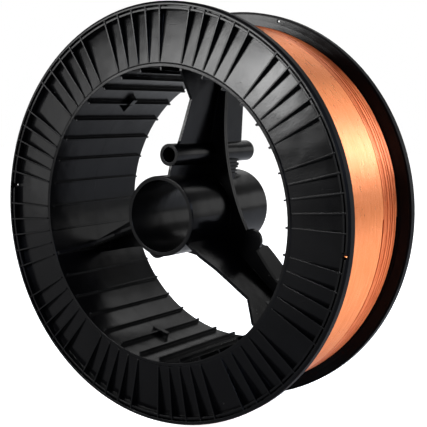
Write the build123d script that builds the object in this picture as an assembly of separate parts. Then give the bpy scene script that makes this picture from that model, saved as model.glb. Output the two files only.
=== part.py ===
from build123d import *
import math
import os

# MIG welding wire spool, plastic, 300 mm class, full of copper-coated wire.
# The spool is two black mouldings that meet on the middle plane and hold one winding of wire.
# Frame: origin at the centre of the spindle bore on the middle plane, the spool's axis along Y,
# the front flange toward -Y, +Z up, millimetres. Angles run from +X toward +Z.

# Main sizes
FLANGE_D = 300.0
SPOOL_WIDTH = 103.0
BARREL_D = 216.0
BARREL_WALL = 2.8
BORE_D = 51.5
HUB_WALL = 3.05
HUB_RECESS = 1.7
HALF = SPOOL_WIDTH / 2
RIM_R = FLANGE_D / 2
BARREL_R = BARREL_D / 2
BARREL_IN = BARREL_R - BARREL_WALL
HUB_R = BORE_D / 2 + HUB_WALL
TUBE_Z = HALF - HUB_RECESS

# Dished flange: its outer face is nearly flush at the barrel lip and sinks toward the rim, where
# a low ring wall runs round inside the rim with a narrow groove between the two. Its inner face,
# against the wire, is flat.
RIM_WALL = 2.8
PLATE_T = 1.8
LIP_W = 2.0
LIP_DROP = 0.6
DISH_DEPTH = 5.2
RING_SET = 2.8
RING_T = 1.5
RING_DROP = 0.7
GROOVE_DEPTH = 4.4
EDGE_EASE = 1.4
RIM_IN = RIM_R - RIM_WALL
RING_IN = RIM_IN - RING_SET
RING_OUT = RING_IN + RING_T
INNER_FACE = HALF - DISH_DEPTH - PLATE_T

# Stiffening ribs of the flange: one every 5 degrees, each sixth place left empty
RIB_T = 1.1
RIB_PITCH = 5.0
RIB_START = -0.7
RIB_GAP_EVERY = 6

# Ribs along the inside of the barrel
BAR_RIB_T = 1.2
BAR_RIB_H = 2.8
BAR_RIB_PITCH = 10.0
BAR_RIB_END = HALF - 2.0

# Three spokes: a fin in the plane of the axis, and a web across it at the joint of the halves
SPOKE_ANGLE = 79.3
SPOKE_COUNT = 3
FIN_T = 2.2
WEB_T = 2.0
WEB_GAUGE_R = 70.0
WEB_HALF = 9.8
WEB_TAPER = 0.13
WEB_WAIST = HUB_R + 5.0

# Driver hole on the first spoke
DRIVER_OFFSET = 44.5
DRIVER_D = 10.6
DRIVER_WALL = 2.5
DRIVER_R = DRIVER_D / 2 + DRIVER_WALL

# Round joining pads at the web's edge, and ridged catches on the rear half beside the hub
PAD_ALONG = 47.8
PAD_SIDE = 16.3
PAD_R = 8.3
PAD_T = 2.6
CATCH_SIDE = 12.7
CATCH_WALL = 2.4
CATCH_TOP = 41.6
CATCH_LEN = 20.0
CATCH_RIDGES = 5
CATCH_RIDGE_PITCH = 2.6
CATCH_RIDGE_T = 1.1
CATCH_RIDGE_H = 1.6
CATCH_NOSE = 3.0

# Small holes for tying the wire end down, each in an empty place between the ribs, at the bottom
# of a round well that cuts the ring wall and bites into the rim wall
TIE_HOLE_D = 2.6
TIE_WELL_D = 4.8
TIE_WELL_BITE = 1.8
TIE_HOLE_R = RIM_IN + TIE_WELL_BITE - TIE_WELL_D / 2
TIE_ANGLE = -6.3
REAR_HOLE_ANGLE = 74.0

# Snap clips on the seam inside the barrel, each astride a rib
CLIP_FROM_SPOKE = 50.0
CLIP_ABOVE = 7.5
CLIP_BELOW = 6.0
CLIP_L = 4.0
CLIP_H = 4.4

# The winding and the free end of the wire. The last layer is unfinished: it covers the winding
# up to a share of its width, and one bunch of its turns stands apart behind that.
WIRE_D = 1.2
FILLED = 0.774
WOUND_R = BARREL_R + (RIM_R - BARREL_R) * FILLED
LAYER_H = 1.04
LAYER_R = WOUND_R - LAYER_H
WIRE_GAP = 0.15
LAST_TURN = 0.772
BUNCH_START = 0.802
BUNCH_STOP = 0.935
TAIL_SIDES = 12


def at_angle(shape, degrees):
    """Turn a shape about the spool's axis in the moulding's own frame."""
    return shape.rotate(Axis.Z, degrees)


def plate_z(r):
    """Height of the flange plate's outer face at radius r."""
    share = (r - BARREL_R) / (RIM_IN - BARREL_R)
    return HALF - LIP_DROP - (DISH_DEPTH - LIP_DROP) * share


def shell():
    """Flange, rim and barrel of one half as one turned profile. Its own z is 0 at the seam."""
    points = [
        (BARREL_IN, 0),
        (BARREL_IN, HALF),
        (BARREL_IN + LIP_W, HALF),
        (BARREL_R, plate_z(BARREL_R)),
        (RING_IN, plate_z(RING_IN)),
        (RING_IN, HALF - RING_DROP),
        (RING_OUT, HALF - RING_DROP),
        (RING_OUT, HALF - GROOVE_DEPTH),
        (RIM_IN, HALF - GROOVE_DEPTH),
        (RIM_IN, HALF),
        (RIM_R - EDGE_EASE, HALF),
        (RIM_R, HALF - EDGE_EASE),
        (RIM_R, INNER_FACE),
        (BARREL_R, INNER_FACE),
        (BARREL_R, 0),
    ]
    profile = make_face(Polyline([(r, 0, z) for r, z in points], close=True))
    return revolve(profile, Axis.Z, 360)


def flange_ribs():
    """Thin tapered ribs that fill the dish and run over the ring wall, flush with lip and rim."""
    inner = BARREL_R + 0.6
    outer = RING_OUT - 0.3
    sink = 0.8
    outline = Polyline(
        (inner, 0, plate_z(inner) - sink),
        (inner, 0, HALF),
        (outer, 0, HALF),
        (outer, 0, plate_z(outer) - sink),
        close=True,
    )
    rib = extrude(make_face(outline), RIB_T / 2, dir=(0, 1, 0), both=True)
    places = range(round(360 / RIB_PITCH))
    kept = [k for k in places if (k + 1) % RIB_GAP_EVERY != 0]
    return [at_angle(rib, RIB_START + RIB_PITCH * k) for k in kept]


def barrel_ribs():
    """Low ribs along the barrel's inner wall. The fins take the places of three of them."""
    length = BAR_RIB_END
    rib = Pos(BARREL_IN - BAR_RIB_H / 2 + 0.3, 0, length / 2) * Box(BAR_RIB_H + 0.6, BAR_RIB_T, length)
    ribs = []
    for k in range(round(360 / BAR_RIB_PITCH)):
        angle = RIB_START + BAR_RIB_PITCH * k
        from_spoke = (angle - SPOKE_ANGLE) % (360 / SPOKE_COUNT)
        if min(from_spoke, 360 / SPOKE_COUNT - from_spoke) > 1:
            ribs.append(at_angle(rib, angle))
    return ribs


def fins(edge):
    """Fins of the spokes. The edge lists (r, z) from the hub to the barrel."""
    points = [(edge[0][0], 0)] + list(edge) + [(edge[-1][0], 0)]
    outline = make_face(Polyline([(r, 0, z) for r, z in points], close=True))
    fin = extrude(outline, FIN_T / 2, dir=(0, 1, 0), both=True)
    return around(at_angle(fin, SPOKE_ANGLE))


def along_spoke(share):
    """Radius at a share of the way from the hub to the barrel."""
    return HUB_R + (BARREL_IN - HUB_R) * share


OUTER_EDGE = (
    (along_spoke(0.474), HALF - 14.2), (along_spoke(0.644), HALF - 16.8),
    (along_spoke(0.7225), HALF - 18.0), (along_spoke(0.8665), HALF - 8.3),
    (along_spoke(0.974), HALF - 0.9), (BARREL_IN + 0.5, HALF - 0.9),
)
FRONT_EDGE = (
    (HUB_R - 1, HALF - 5.1), (HUB_R + 5.2, HALF - 5.4), (HUB_R + 12.2, HALF - 6.5),
    (along_spoke(0.33), HALF - 11.7),
) + OUTER_EDGE
REAR_EDGE = (
    (HUB_R - 1, HALF - 15.5), (HUB_R + 13.7, HALF - 15.5), (HUB_R + 15.2, HALF - 14.3),
    (HUB_R + 16.2, HALF - 10.9), (along_spoke(0.33), HALF - 11.9),
) + OUTER_EDGE


def around(shape):
    """The same shape at each spoke."""
    return [at_angle(shape, 360 / SPOKE_COUNT * k) for k in range(SPOKE_COUNT)]


def web():
    """Plate across the three spokes, wide at the hub and narrow at the barrel."""
    tip = WEB_GAUGE_R + (WEB_HALF - 1.0) / WEB_TAPER
    half_root = WEB_HALF + WEB_TAPER * WEB_GAUGE_R
    arm = Polygon((0, half_root), (0, -half_root), (tip, -1.0), (tip, 1.0), align=None)
    first, second, third = around(arm.rotate(Axis.Z, SPOKE_ANGLE))
    star = first + second + third
    half_angle = math.pi / SPOKE_COUNT
    crotch_r = half_root / (math.sin(half_angle) + WEB_TAPER * math.cos(half_angle))
    crotches = [v for v in star.vertices() if abs(math.hypot(v.X, v.Y) - crotch_r) < 1.0]
    flank = half_angle + math.atan(WEB_TAPER)
    star = fillet(crotches, (WEB_WAIST - crotch_r) / (1 / math.sin(flank) - 1))
    return extrude(star, WEB_T) & Cylinder(BARREL_IN + 0.5, 4 * HALF)


def on_spoke(along, side):
    """Place beside the first spoke: distance along it, and to its anticlockwise side."""
    a = math.radians(SPOKE_ANGLE)
    return (
        along * math.cos(a) - side * math.sin(a),
        along * math.sin(a) + side * math.cos(a),
    )


def joining_pads():
    """Round pads that stand a little proud of the web, on the same edge of each spoke."""
    x, y = on_spoke(PAD_ALONG, PAD_SIDE)
    return around(Pos(x, y, PAD_T / 2) * Cylinder(PAD_R, PAD_T))


def catches():
    """Ridged catches that stand on the hub tube behind the web, one beside each spoke."""
    wall_in = CATCH_SIDE - CATCH_WALL
    foot = HUB_R - 4.0
    wall = Pos((foot + CATCH_TOP) / 2, wall_in + CATCH_WALL / 2, CATCH_LEN / 2) * Box(
        CATCH_TOP - foot, CATCH_WALL, CATCH_LEN)
    blank = Box(CATCH_RIDGE_T, CATCH_RIDGE_H + 0.4, CATCH_LEN)
    body = wall
    for k in range(CATCH_RIDGES):
        along = CATCH_TOP - CATCH_RIDGE_T / 2 - CATCH_RIDGE_PITCH * k
        body += Pos(along, CATCH_SIDE + CATCH_RIDGE_H / 2 - 0.2, CATCH_LEN / 2) * blank
    nose_at = CATCH_TOP - CATCH_RIDGE_PITCH * 1.6
    body += Pos(nose_at, wall_in + CATCH_WALL / 2, CATCH_LEN) * Box(2.2, CATCH_WALL, 2 * CATCH_NOSE)
    return around(at_angle(body, SPOKE_ANGLE))


def clips():
    """Snap clips that close the seam of the barrel, each a block astride one of its ribs."""
    above = Pos(0, CLIP_ABOVE / 2, 0) * Box(CLIP_H, CLIP_ABOVE, CLIP_L * 0.8)
    below = Pos(0, -CLIP_BELOW / 2, -CLIP_L * 0.1) * Box(CLIP_H * 0.85, CLIP_BELOW, CLIP_L * 1.2)
    block = Pos(BARREL_IN - CLIP_H / 2 + 0.3, 0, CLIP_L * 0.7) * (above + below)
    return around(at_angle(block, SPOKE_ANGLE + CLIP_FROM_SPOKE))


def hub():
    """Hub tube blank from the seam to its recessed end, with a small outer chamfer."""
    blank = Pos(0, 0, TUBE_Z / 2) * Cylinder(HUB_R, TUBE_Z)
    rim = blank.edges().filter_by(GeomType.CIRCLE).sort_by(Axis.Z)[-1]
    return chamfer(rim, 0.6)


def moulding(edge, extra, holes):
    """One half: the turned shell with its ribs, fins, web, hub and driver tube, then the bores."""
    dx, dy = on_spoke(DRIVER_OFFSET, 0)
    body = shell() + flange_ribs() + barrel_ribs() + fins(edge) + web() + extra
    body = body + hub() + Pos(dx, dy, TUBE_Z / 2) * Cylinder(DRIVER_R, TUBE_Z)
    cuts = [Cylinder(BORE_D / 2, 4 * HALF), Pos(dx, dy, 0) * Cylinder(DRIVER_D / 2, 4 * HALF)]
    return body - cuts - holes


def to_front(shape):
    """Own z becomes -Y, so that the half's open face looks to the front."""
    return shape.rotate(Axis.X, 90)


def to_rear(shape):
    """The rear half is the moulding turned half round about the first spoke's line."""
    a = math.radians(SPOKE_ANGLE)
    flipped = shape.rotate(Axis((0, 0, 0), (math.cos(a), math.sin(a), 0)), 180)
    return flipped.rotate(Axis.X, 90)


def tie_hole(degrees):
    """Small hole through the flange plate just outside the wound wire, and its well."""
    floor = plate_z(TIE_HOLE_R)
    hole = Pos(TIE_HOLE_R, 0, floor) * Cylinder(TIE_HOLE_D / 2, 12)
    well = Pos(TIE_HOLE_R, 0, floor + 6) * Cylinder(TIE_WELL_D / 2, 12)
    return at_angle(hole + well, degrees)


def winding():
    """The wound wire as one turned ring between the flanges, and its free end."""
    r_in = BARREL_R + WIRE_GAP
    end_y = INNER_FACE - WIRE_GAP
    points = [(r_in, 1), (r_in, 0), (WOUND_R, 0), (WOUND_R, LAST_TURN), (LAYER_R, LAST_TURN)]
    points += [(LAYER_R, BUNCH_START), (WOUND_R, BUNCH_START), (WOUND_R, BUNCH_STOP)]
    points += [(LAYER_R, BUNCH_STOP), (LAYER_R, 1)]
    profile = make_face(Polyline([(r, (2 * share - 1) * end_y, 0) for r, share in points], close=True))
    ring = revolve(profile, Axis.Y, 360)
    a = math.radians(TIE_ANGLE)
    outside = -HALF

    def spot(r, y, turn):
        return Vector(r * math.cos(a + turn), y, r * math.sin(a + turn))

    path = Polyline(
        spot(WOUND_R - 1.5, 3.5 - INNER_FACE, -0.06),
        spot(TIE_HOLE_R, 0.8 - INNER_FACE, 0.0),
        spot(TIE_HOLE_R, outside + 2.4, 0.0),
        spot(TIE_HOLE_R + 0.8, outside + 0.8, 0.002),
    )
    section = Plane(origin=path @ 0, z_dir=path % 0) * RegularPolygon(WIRE_D / 2, TAIL_SIDES)
    return ring + sweep(section, path=path, transition=Transition.RIGHT)


front_half = to_front(moulding(
    FRONT_EDGE,
    joining_pads() + clips(),
    [tie_hole(TIE_ANGLE), tie_hole(TIE_ANGLE + 180)],
))
rear_half = to_rear(moulding(
    REAR_EDGE,
    catches(),
    [tie_hole(2 * SPOKE_ANGLE - REAR_HOLE_ANGLE)],
))
wire_winding = winding()

os.makedirs("parts", exist_ok=True)
for name, solid in (
    ("front_half", front_half),
    ("rear_half", rear_half),
    ("wire_winding", wire_winding),
):
    export_step(solid, f"parts/{name}.step")
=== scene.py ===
import bpy
import math
import random
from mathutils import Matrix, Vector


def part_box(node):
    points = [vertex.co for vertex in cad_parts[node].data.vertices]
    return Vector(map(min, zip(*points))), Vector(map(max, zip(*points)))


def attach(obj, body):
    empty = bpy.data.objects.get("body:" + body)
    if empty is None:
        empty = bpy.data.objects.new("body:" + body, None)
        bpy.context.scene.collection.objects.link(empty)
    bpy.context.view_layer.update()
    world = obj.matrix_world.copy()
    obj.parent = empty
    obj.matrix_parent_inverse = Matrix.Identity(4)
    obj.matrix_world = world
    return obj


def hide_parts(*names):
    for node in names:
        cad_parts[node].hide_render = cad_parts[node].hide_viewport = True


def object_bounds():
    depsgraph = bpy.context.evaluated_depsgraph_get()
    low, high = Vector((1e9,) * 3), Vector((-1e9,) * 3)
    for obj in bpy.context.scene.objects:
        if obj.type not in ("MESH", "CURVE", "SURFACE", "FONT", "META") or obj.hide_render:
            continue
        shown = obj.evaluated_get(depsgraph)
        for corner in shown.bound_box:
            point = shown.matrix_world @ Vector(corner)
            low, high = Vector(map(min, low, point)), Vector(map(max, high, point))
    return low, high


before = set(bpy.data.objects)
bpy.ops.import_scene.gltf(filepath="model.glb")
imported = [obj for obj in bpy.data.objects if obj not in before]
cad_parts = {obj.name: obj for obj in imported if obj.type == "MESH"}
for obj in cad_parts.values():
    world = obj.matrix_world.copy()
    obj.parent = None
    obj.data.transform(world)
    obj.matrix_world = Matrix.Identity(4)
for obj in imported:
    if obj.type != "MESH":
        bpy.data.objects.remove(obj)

cad_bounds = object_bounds()

# The two mouldings
# Each half of the spool is one injection moulding in black polystyrene: flange, rim, barrel,
# spokes and hub in a single shot. The mould steel leaves a satin skin with faint flow marks,
# and handling leaves hair scratches and a little dust.


def node(tree, kind, **settings):
    """Adds a shader node and sets its properties."""
    new = tree.nodes.new(kind)
    for key, value in settings.items():
        setattr(new, key, value)
    return new


def noise(tree, vector, scale, detail=3.0, roughness=0.55):
    """A noise pattern of so many features to the metre."""
    new = node(tree, "ShaderNodeTexNoise")
    new.inputs["Scale"].default_value = scale
    new.inputs["Detail"].default_value = detail
    new.inputs["Roughness"].default_value = roughness
    tree.links.new(vector, new.inputs["Vector"])
    return new.outputs["Fac"]


def ranged(tree, value, low, high, to_low, to_high):
    """The value carried from one range to another and held there."""
    new = node(tree, "ShaderNodeMapRange", clamp=True)
    tree.links.new(value, new.inputs["Value"])
    limits = (("From Min", low), ("From Max", high), ("To Min", to_low), ("To Max", to_high))
    for key, number in limits:
        new.inputs[key].default_value = number
    return new.outputs["Result"]


def sums(tree, kind, first, second):
    """Two values joined by one plain sum, product or comparison."""
    new = node(tree, "ShaderNodeMath", operation=kind)
    for socket, value in zip(new.inputs, (first, second)):
        if isinstance(value, (int, float)):
            socket.default_value = value
        else:
            tree.links.new(value, socket)
    return new.outputs["Value"]


def black_moulding(name):
    """Satin black polystyrene with flow marks, hair scratches, dust and scuffed rims."""
    material = bpy.data.materials.new(name)
    material.use_nodes = True
    tree = material.node_tree
    link = tree.links.new
    shader = tree.nodes["Principled BSDF"]
    shader.inputs["IOR"].default_value = 1.18
    place = node(tree, "ShaderNodeTexCoord").outputs["Object"]

    tone = node(tree, "ShaderNodeValToRGB")
    tone.color_ramp.elements[0].color = (0.0004, 0.0004, 0.0005, 1)
    tone.color_ramp.elements[1].color = (0.0013, 0.0013, 0.0015, 1)
    link(noise(tree, place, 38), tone.inputs["Fac"])

    specks = node(tree, "ShaderNodeTexVoronoi", feature="F1")
    specks.inputs["Scale"].default_value = 150
    link(place, specks.inputs["Vector"])
    near = ranged(tree, specks.outputs["Distance"], 0.035, 0.06, 1, 0)
    some = ranged(tree, noise(tree, place, 60, 2), 0.58, 0.64, 0, 1)
    dust = sums(tree, "MULTIPLY", near, some)
    dusty = node(tree, "ShaderNodeMix", data_type="RGBA")
    link(sums(tree, "MULTIPLY", dust, 0.5), dusty.inputs["Factor"])
    link(tone.outputs["Color"], dusty.inputs["A"])
    dusty.inputs["B"].default_value = (0.20, 0.19, 0.18, 1)
    link(dusty.outputs["Result"], shader.inputs["Base Color"])

    stretched = node(tree, "ShaderNodeMapping")
    stretched.inputs["Rotation"].default_value = (0.4, 0.2, 0.7)
    stretched.inputs["Scale"].default_value = (1, 14, 14)
    link(place, stretched.inputs["Vector"])
    hair = ranged(tree, noise(tree, stretched.outputs["Vector"], 70, 4, 0.7), 0.66, 0.70, 0, 1)
    cloudy = ranged(tree, noise(tree, place, 26, 4), 0.3, 0.7, 0.18, 0.25)
    scratched = sums(tree, "ADD", cloudy, sums(tree, "MULTIPLY", hair, 0.14))
    scratched = sums(tree, "ADD", scratched, sums(tree, "MULTIPLY", dust, 0.3))

    flat = node(tree, "ShaderNodeVectorMath", operation="MULTIPLY")
    link(place, flat.inputs[0])
    flat.inputs[1].default_value = (1, 0, 1)
    out_by = node(tree, "ShaderNodeVectorMath", operation="LENGTH")
    link(flat.outputs["Vector"], out_by.inputs[0])
    scuffed = ranged(tree, out_by.outputs["Value"], 0.1480, 0.1486, 0, 1)
    scuffing = sums(tree, "MULTIPLY", scuffed, 0.26)
    link(sums(tree, "ADD", scratched, scuffing), shader.inputs["Roughness"])
    link(ranged(tree, scuffed, 0, 1, 0.5, 0.22), shader.inputs["Specular IOR Level"])

    skin = node(tree, "ShaderNodeBump")
    skin.inputs["Strength"].default_value = 0.10
    skin.inputs["Distance"].default_value = 0.0004
    link(noise(tree, place, 900, 2), skin.inputs["Height"])
    soft_edges = node(tree, "ShaderNodeBevel", samples=6)
    soft_edges.inputs["Radius"].default_value = 0.00045
    link(soft_edges.outputs["Normal"], skin.inputs["Normal"])
    flow = node(tree, "ShaderNodeBump")
    flow.inputs["Strength"].default_value = 0.22
    flow.inputs["Distance"].default_value = 0.003
    link(noise(tree, place, 30, 2), flow.inputs["Height"])
    link(skin.outputs["Normal"], flow.inputs["Normal"])
    bow = node(tree, "ShaderNodeBump")
    bow.inputs["Strength"].default_value = 1.0
    bow.inputs["Distance"].default_value = 1.0
    off_middle = ranged(tree, out_by.outputs["Value"], 0.108, 0.1442, -0.017, 0.0192)
    dip = sums(tree, "MULTIPLY", sums(tree, "MULTIPLY", off_middle, off_middle), -0.85)
    link(dip, bow.inputs["Height"])
    link(flow.outputs["Normal"], bow.inputs["Normal"])
    link(bow.outputs["Normal"], shader.inputs["Normal"])
    return material


for half in ("front_half", "rear_half"):
    for mould_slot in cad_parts[half].material_slots:
        mould_slot.material = black_moulding(half + "_black")


# The rib ends
# Each flange rib runs on over the groove inside the rim and dies into the rim wall. These last
# two millimetres are moulded in one with the flange, with the same softened top edges.
def nothing_selected():
    """Leaves edit mode with no object picked."""
    if bpy.context.object and bpy.context.object.mode != "OBJECT":
        bpy.ops.object.mode_set(mode="OBJECT")
    bpy.ops.object.select_all(action="DESELECT")


GROOVE_MIDDLE_R = 0.1465
RIB_END_Y = 0.05015
RIB_END_SIZE = (0.0020, 0.0026, 0.0011)
RIB_EDGE = 0.00008
FIRST_RIB_ANGLE = -0.7
RIB_PITCH = 5
RIB_GAP_EVERY = 6
REAR_TURN = 158.6
rib_end_black = black_moulding("rib_end_black")
rib_places = [FIRST_RIB_ANGLE + RIB_PITCH * place for place in range(72)
              if (place + 1) % RIB_GAP_EVERY]
for side_name, side, turned in (("front", -1, 0), ("rear", 1, REAR_TURN)):
    nothing_selected()
    bpy.ops.mesh.primitive_cube_add(size=1, location=(GROOVE_MIDDLE_R, side * RIB_END_Y, 0))
    rib_end = bpy.context.object
    rib_end.scale = RIB_END_SIZE
    bpy.ops.object.transform_apply(location=True, rotation=True, scale=True)
    bpy.ops.object.mode_set(mode="EDIT")
    bpy.ops.mesh.select_mode(type="EDGE")
    bpy.ops.mesh.select_all(action="SELECT")
    bpy.ops.mesh.bevel(offset=RIB_EDGE, segments=1)
    bpy.ops.object.mode_set(mode="OBJECT")
    copies = []
    for angle in rib_places:
        angle = math.radians(turned - side * angle if turned else angle)
        nothing_selected()
        rib_end.select_set(True)
        bpy.context.view_layer.objects.active = rib_end
        bpy.ops.object.duplicate()
        copy = bpy.context.object
        copy.rotation_euler = (0, -angle, 0)
        bpy.ops.object.transform_apply(location=True, rotation=True, scale=True)
        copies.append(copy)
    nothing_selected()
    rib_end.select_set(True)
    bpy.ops.object.delete()
    for copy in copies:
        copy.select_set(True)
    bpy.context.view_layer.objects.active = copies[0]
    bpy.ops.object.join()
    ends = bpy.context.object
    ends.name = side_name + "_rib_ends"
    ends.data.materials.append(rib_end_black)
    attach(ends, "root")

# The wire winding
# Steel wire of 1.2 mm with a thin copper coat, drawn bright and laid on in tight turns, layer on
# layer. The last layer is full up to two thirds of the width. Past that its turns lie in small
# bunches, and the turns of the layer below show between them.
WIRE_D = 0.0012
low_corner, high_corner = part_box("wire_winding")
WOUND_R = (high_corner[2] - low_corner[2]) / 2


def copper_wire(name, dark, light):
    """Drawn copper coat: bright, a little streaked along the turns, browned here and there."""
    material = bpy.data.materials.new(name)
    material.use_nodes = True
    tree = material.node_tree
    link = tree.links.new
    shader = tree.nodes["Principled BSDF"]
    shader.inputs["Metallic"].default_value = 1.0
    shader.inputs["Coat Weight"].default_value = 0.2
    shader.inputs["Coat Roughness"].default_value = 0.22
    place = node(tree, "ShaderNodeTexCoord").outputs["Object"]
    across = node(tree, "ShaderNodeMapping")
    across.inputs["Scale"].default_value = (0.12, 1, 0.12)
    link(place, across.inputs["Vector"])

    tone = node(tree, "ShaderNodeValToRGB")
    tone.color_ramp.elements[0].position = 0.30
    tone.color_ramp.elements[0].color = dark
    tone.color_ramp.elements[1].position = 0.72
    tone.color_ramp.elements[1].color = light
    link(noise(tree, across.outputs["Vector"], 420, 4, 0.6), tone.inputs["Fac"])
    link(tone.outputs["Color"], shader.inputs["Base Color"])
    streak = noise(tree, across.outputs["Vector"], 900, 3)
    link(ranged(tree, streak, 0.3, 0.7, 0.26, 0.40), shader.inputs["Roughness"])
    drawn = node(tree, "ShaderNodeBump")
    drawn.inputs["Strength"].default_value = 0.25
    drawn.inputs["Distance"].default_value = 0.0002
    link(noise(tree, place, 1500, 2), drawn.inputs["Height"])
    link(drawn.outputs["Normal"], shader.inputs["Normal"])
    return material


copper = copper_wire("copper_coat", (0.79, 0.222, 0.066, 1), (0.90, 0.300, 0.108, 1))
# The second, darker copper is painted shade. It darkens the layer below and the filled core, which
# show in the gaps between the bunches, and it darkens the bunched turns and the last two turns in
# the rear third of the winding by the rear flange.
painted_shade_copper = copper_wire(
    "copper_coat_painted_shade", (0.56, 0.115, 0.030, 1), (0.80, 0.222, 0.076, 1))
LAY_R = WOUND_R - WIRE_D / 2
FIRST_TURN_Y = -0.04375
FULL_TURNS = 52
BELOW_START_Y = 0.0160
BELOW_TURNS = 23
STEPS_ROUND = 96


def coil_piece(name, radius, start_y, turns, steps, sides):
    """One layer of wire as a true screw of touching turns, from a ring section at its start."""
    nothing_selected()
    bpy.ops.mesh.primitive_circle_add(
        vertices=sides, radius=WIRE_D / 2, fill_type="NGON", location=(radius, start_y, 0))
    piece = bpy.context.object
    piece.name = name
    bpy.ops.object.transform_apply(location=True, rotation=True, scale=True)
    bpy.ops.object.mode_set(mode="EDIT")
    bpy.ops.mesh.select_all(action="SELECT")
    bpy.ops.mesh.delete(type="ONLY_FACE")
    bpy.ops.object.mode_set(mode="OBJECT")
    lay = piece.modifiers.new("lay", "SCREW")
    lay.axis = "Y"
    lay.steps = steps
    lay.render_steps = steps
    lay.screw_offset = WIRE_D
    lay.iterations = turns
    lay.use_merge_vertices = False
    bpy.ops.object.modifier_apply(modifier="lay")
    bpy.ops.object.mode_set(mode="EDIT")
    bpy.ops.mesh.select_mode(type="EDGE")
    bpy.ops.mesh.select_all(action="DESELECT")
    bpy.ops.mesh.select_non_manifold()
    bpy.ops.mesh.edge_face_add()
    bpy.ops.mesh.select_all(action="SELECT")
    bpy.ops.mesh.normals_make_consistent(inside=False)
    bpy.ops.object.mode_set(mode="OBJECT")
    bpy.ops.object.shade_smooth()
    return piece


def wander(piece, amount, size):
    """Lets the turns stray a little along the axis, as the guide laid them."""
    drift = bpy.data.textures.new(piece.name + "_drift", "CLOUDS")
    drift.noise_scale = size
    stray = piece.modifiers.new("stray", "DISPLACE")
    stray.texture = drift
    stray.texture_coords = "LOCAL"
    stray.direction = "Y"
    stray.strength = amount
    bpy.context.view_layer.objects.active = piece
    bpy.ops.object.modifier_apply(modifier="stray")


full_layer = coil_piece("full_layer", LAY_R, FIRST_TURN_Y, FULL_TURNS, STEPS_ROUND, 8)
wander(full_layer, 0.0005, 0.05)
layer_below = coil_piece(
    "layer_below", LAY_R - WIRE_D * 0.87, BELOW_START_Y, BELOW_TURNS, STEPS_ROUND, 6)

# Bunched turns at the rear end of the last layer, with a turn's width left open between bunches.
# Each bunch is given by the place of its first turn along the axis and its number of turns.
bunches = ((0.0204, 3), (0.0250, 1), (0.0271, 3), (0.0315, 2), (0.0350, 3), (0.0394, 1))
nothing_selected()
random.seed(7)
bpy.ops.mesh.primitive_circle_add(
    vertices=8, radius=WIRE_D / 2, location=(LAY_R, bunches[0][0], 0))
bunched = bpy.context.object
bunched.name = "bunched_turns"
bpy.ops.object.transform_apply(location=True, rotation=True, scale=True)
bpy.ops.object.mode_set(mode="EDIT")
bpy.ops.mesh.select_all(action="SELECT")
bpy.ops.mesh.delete(type="VERT")
for start, count in bunches:
    for turn in range(count):
        proud = random.uniform(-0.0001, 0.0003)
        bpy.ops.mesh.primitive_circle_add(
            vertices=8, radius=WIRE_D / 2,
            location=(LAY_R + proud, start + turn * WIRE_D, 0))
bpy.ops.mesh.select_all(action="SELECT")
bpy.ops.mesh.spin(steps=STEPS_ROUND, angle=math.tau, center=(0, 0, 0), axis=(0, 1, 0))
bpy.ops.mesh.select_all(action="SELECT")
bpy.ops.mesh.remove_doubles(threshold=0.000002)
bpy.ops.mesh.normals_make_consistent(inside=False)
bpy.ops.object.mode_set(mode="OBJECT")
bpy.ops.object.shade_smooth()
wander(bunched, 0.0009, 0.04)

# The filled core under the last layers, one turned body between the flanges.
nothing_selected()
CORE_R = LAY_R - WIRE_D * 1.74
FLANGE_INSIDE_Y = 0.0442
BARREL_OUTSIDE_R = 0.1083
bpy.ops.mesh.primitive_cylinder_add(
    vertices=128, radius=CORE_R, depth=2 * FLANGE_INSIDE_Y,
    rotation=(math.radians(90), 0, 0), end_fill_type="NGON")
core = bpy.context.object
core.name = "wound_core"
bpy.ops.object.transform_apply(location=True, rotation=True, scale=True)
bpy.ops.object.mode_set(mode="EDIT")
bpy.ops.mesh.select_mode(type="FACE")
bpy.ops.mesh.select_all(action="DESELECT")
bpy.ops.object.mode_set(mode="OBJECT")
for side in core.data.polygons:
    side.select = abs(side.normal.y) > 0.9
bpy.ops.object.mode_set(mode="EDIT")
bpy.ops.mesh.inset(thickness=CORE_R - BARREL_OUTSIDE_R)
bpy.ops.mesh.bridge_edge_loops()
bpy.ops.object.mode_set(mode="OBJECT")
bpy.ops.object.shade_smooth_by_angle(angle=math.radians(40))

# The last two turns by the rear flange climb out of the layer below low on the right side. The
# free end leaves the last layer at the front, goes out through the tie hole in the front flange
# and is bent over in its well and nipped off.


def laid_wire(name, route):
    """One length of wire along points given by radius, place along the axis and angle."""
    nothing_selected()
    bpy.ops.curve.primitive_nurbs_path_add()
    path = bpy.context.object
    path.data.splines.clear()
    line = path.data.splines.new("NURBS")
    line.points.add(len(route) - 1)
    for spot, (radius, y, angle) in zip(line.points, route):
        angle = math.radians(angle)
        spot.co = (radius * math.cos(angle), y, radius * math.sin(angle), 1)
    line.order_u = 3
    line.use_endpoint_u = True
    path.data.bevel_depth = WIRE_D / 2
    path.data.bevel_resolution = 2
    path.data.use_fill_caps = True
    bpy.ops.object.convert(target="MESH")
    laid = bpy.context.object
    laid.name = name
    bpy.ops.object.mode_set(mode="EDIT")
    bpy.ops.mesh.select_all(action="SELECT")
    bpy.ops.mesh.remove_doubles(threshold=0.000005)
    bpy.ops.mesh.normals_make_consistent(inside=False)
    bpy.ops.object.mode_set(mode="OBJECT")
    bpy.ops.object.shade_smooth()
    return laid


LAYER_DROP = 0.0010
last_turns = []
for place, y in enumerate((0.0413, 0.0425)):
    later = 7 * place
    climb = [(LAY_R - LAYER_DROP, y, -16 + later), (LAY_R - LAYER_DROP, y, -12 + later)]
    around = [(LAY_R, y, angle + later) for angle in range(2, 272, 6)]
    back = [(LAY_R - LAYER_DROP, y, 282 + later), (LAY_R - LAYER_DROP, y, 288 + later)]
    last_turns.append(laid_wire("last_turn_%d" % (place + 1), climb + around + back))

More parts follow.
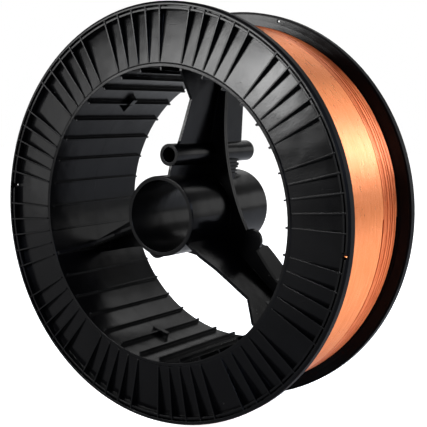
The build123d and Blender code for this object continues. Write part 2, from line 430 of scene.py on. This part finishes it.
TIE_ANGLE = -6.3
free_end = laid_wire("free_end", (
    (0.1399, -0.0437, TIE_ANGLE - 11.0), (0.1399, -0.0437, TIE_ANGLE - 8.0),
    (0.1403, -0.0435, TIE_ANGLE - 5.0), (0.1422, -0.0431, TIE_ANGLE - 2.6),
    (0.1452, -0.0432, TIE_ANGLE - 0.8), (0.1465, -0.0444, TIE_ANGLE - 0.1),
    (0.1466, -0.0476, TIE_ANGLE), (0.1467, -0.0494, TIE_ANGLE), (0.1473, -0.0507, TIE_ANGLE),
    (0.1490, -0.0508, TIE_ANGLE)))

# These pieces take the darker copper with painted shade. The full layer and the free end take the
# plain copper.
painted_shade_pieces = [layer_below, bunched, core] + last_turns
for piece in [full_layer, free_end] + painted_shade_pieces:
    piece.data.materials.clear()
    piece.data.materials.append(painted_shade_copper if piece in painted_shade_pieces else copper)
    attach(piece, "root")
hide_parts("wire_winding")
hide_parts("wire_winding")

# The studio
# A pale floor under the rims and a white backdrop. The key is a row of soft boxes low on the left
# of the front flange, fading outward. Cool boxes light the wire from the right and above, and
# weak ones fill the back.
nothing_selected()
floor_z = cad_bounds[0][2]
bpy.ops.mesh.primitive_plane_add(size=8, location=(0, 0, floor_z))
floor = bpy.context.object
floor.name = "floor"
pale = bpy.data.materials.new("pale_floor")
pale.use_nodes = True
tree = pale.node_tree
tree.nodes.remove(tree.nodes["Principled BSDF"])
lit = node(tree, "ShaderNodeBsdfDiffuse")
glow = node(tree, "ShaderNodeEmission")
seen = node(tree, "ShaderNodeLightPath")
# Painted shade on the floor as it is seen in reflections. For glossy rays its colour and its glow
# are cut, most in front of the spool and least behind it, where the backdrop's light is painted as
# falling.
behind = node(tree, "ShaderNodeVectorMath", operation="DOT_PRODUCT")
tree.links.new(node(tree, "ShaderNodeTexCoord").outputs["Object"], behind.inputs[0])
behind.inputs[1].default_value = (0.77, 0.64, 0.0)
painted_floor_shade = ranged(tree, behind.outputs["Value"], -0.05, 0.20, -0.50, -0.12)
dimmed = sums(tree, "MULTIPLY", seen.outputs["Is Glossy Ray"], painted_floor_shade)
tree.links.new(sums(tree, "ADD", dimmed, 0.80), lit.inputs["Color"])
shown = sums(tree, "MAXIMUM", seen.outputs["Is Camera Ray"], seen.outputs["Is Glossy Ray"])
shown = sums(tree, "MAXIMUM", shown, seen.outputs["Is Transmission Ray"])
off = ranged(tree, behind.outputs["Value"], -0.05, 0.20, -0.85, -0.58)
painted_glow_shade = sums(tree, "MULTIPLY", seen.outputs["Is Glossy Ray"], off)
strength = sums(tree, "MULTIPLY", sums(tree, "ADD", shown, painted_glow_shade), 0.88)
tree.links.new(strength, glow.inputs["Strength"])
both = node(tree, "ShaderNodeAddShader")
tree.links.new(lit.outputs[0], both.inputs[0])
tree.links.new(glow.outputs[0], both.inputs[1])
tree.links.new(both.outputs[0], tree.nodes["Material Output"].inputs["Surface"])
floor.data.materials.append(pale)

room = bpy.data.worlds.new("room")
bpy.context.scene.world = room
room.use_nodes = True
tree = room.node_tree
tree.nodes.clear()
out = node(tree, "ShaderNodeOutputWorld")
seen = node(tree, "ShaderNodeLightPath")
facing = node(tree, "ShaderNodeVectorMath", operation="DOT_PRODUCT")
tree.links.new(node(tree, "ShaderNodeTexCoord").outputs["Generated"], facing.inputs[0])
facing.inputs[1].default_value = (0.50, 0.87, 0.0)
backdrop = ranged(tree, facing.outputs["Value"], 0.45, 0.65, 0.0, 0.4)
straight = sums(tree, "MAXIMUM", seen.outputs["Is Camera Ray"], seen.outputs["Is Transmission Ray"])
mirrored = sums(tree, "MULTIPLY", seen.outputs["Is Glossy Ray"], backdrop)
scattered = sums(tree, "MULTIPLY", seen.outputs["Is Diffuse Ray"], 0.38)
strength = sums(tree, "ADD", sums(tree, "ADD", straight, mirrored), scattered)
shell = node(tree, "ShaderNodeBackground")
shell.inputs["Color"].default_value = (1, 1, 1, 1)
tree.links.new(strength, shell.inputs["Strength"])
tree.links.new(shell.outputs[0], out.inputs["Surface"])


def soft_box(name, toward, distance, width, height, watts, tint=(1, 1, 1)):
    """A soft box lamp that looks at the spool from an azimuth and elevation in degrees."""
    lamp = bpy.data.lights.new(name, "AREA")
    lamp.shape = "RECTANGLE"
    lamp.size = width
    lamp.size_y = height
    lamp.energy = watts
    lamp.color = tint
    holder = bpy.data.objects.new(name, lamp)
    bpy.context.scene.collection.objects.link(holder)
    azimuth, elevation = (math.radians(v) for v in toward)
    flat = distance * math.cos(elevation)
    holder.location = (
        -flat * math.sin(azimuth), -flat * math.cos(azimuth), distance * math.sin(elevation))
    holder.rotation_euler = (math.pi / 2 - elevation, 0, -azimuth)


soft_box("key_box_1", (17.5, 15.5), 1.5, 0.236, 0.314, 19)
soft_box("key_box_2", (26.5, 14), 1.5, 0.236, 0.44, 13)
soft_box("key_box_3", (35.5, 12.5), 1.5, 0.236, 0.445, 7.6)
soft_box("key_box_4", (44.5, 10.5), 1.5, 0.236, 0.39, 2.5)
soft_box("left_box", (55.5, 5), 1.5, 0.34, 0.57, 2.0)
soft_box("right_box", (-62, 21), 1.3, 0.40, 0.25, 6.6, (0.84, 1.0, 1.42))
soft_box("right_back_box", (-110, 30), 1.3, 0.40, 0.40, 6.6, (0.84, 1.0, 1.42))
soft_box("right_high_box", (-85, 50), 1.3, 0.50, 0.30, 2.6, (0.94, 1.0, 1.1))
soft_box("back_box", (-150, 10), 1.6, 0.80, 0.60, 3)
soft_box("back_left_box", (152, 23), 1.6, 0.60, 0.50, 0.8)
soft_box("back_high_box", (180, 45), 1.6, 0.80, 0.60, 3)
soft_box("top_box", (10, 82), 1.6, 0.80, 0.80, 3)

# The camera stands front right and a little above the axis. Its focal length and shifts are in
# pixels of the 427 pixel image.
IMAGE_PIXELS = 427
FOCAL_PIXELS = 963.2
SHIFT_X_PIXELS = 4.9
SHIFT_Y_PIXELS = 4.8
view = bpy.data.cameras.new("view")
camera = bpy.data.objects.new("view", view)
bpy.context.scene.collection.objects.link(camera)
camera.location = (0.4151, -0.5885, 0.0743)
camera.rotation_euler = (math.radians(90 - 6.36), 0, math.radians(34.70))
view.lens = FOCAL_PIXELS / IMAGE_PIXELS * view.sensor_width
view.shift_x = SHIFT_X_PIXELS / IMAGE_PIXELS
view.shift_y = SHIFT_Y_PIXELS / IMAGE_PIXELS
bpy.context.scene.camera = camera
bpy.context.scene.view_settings.view_transform = "Standard"
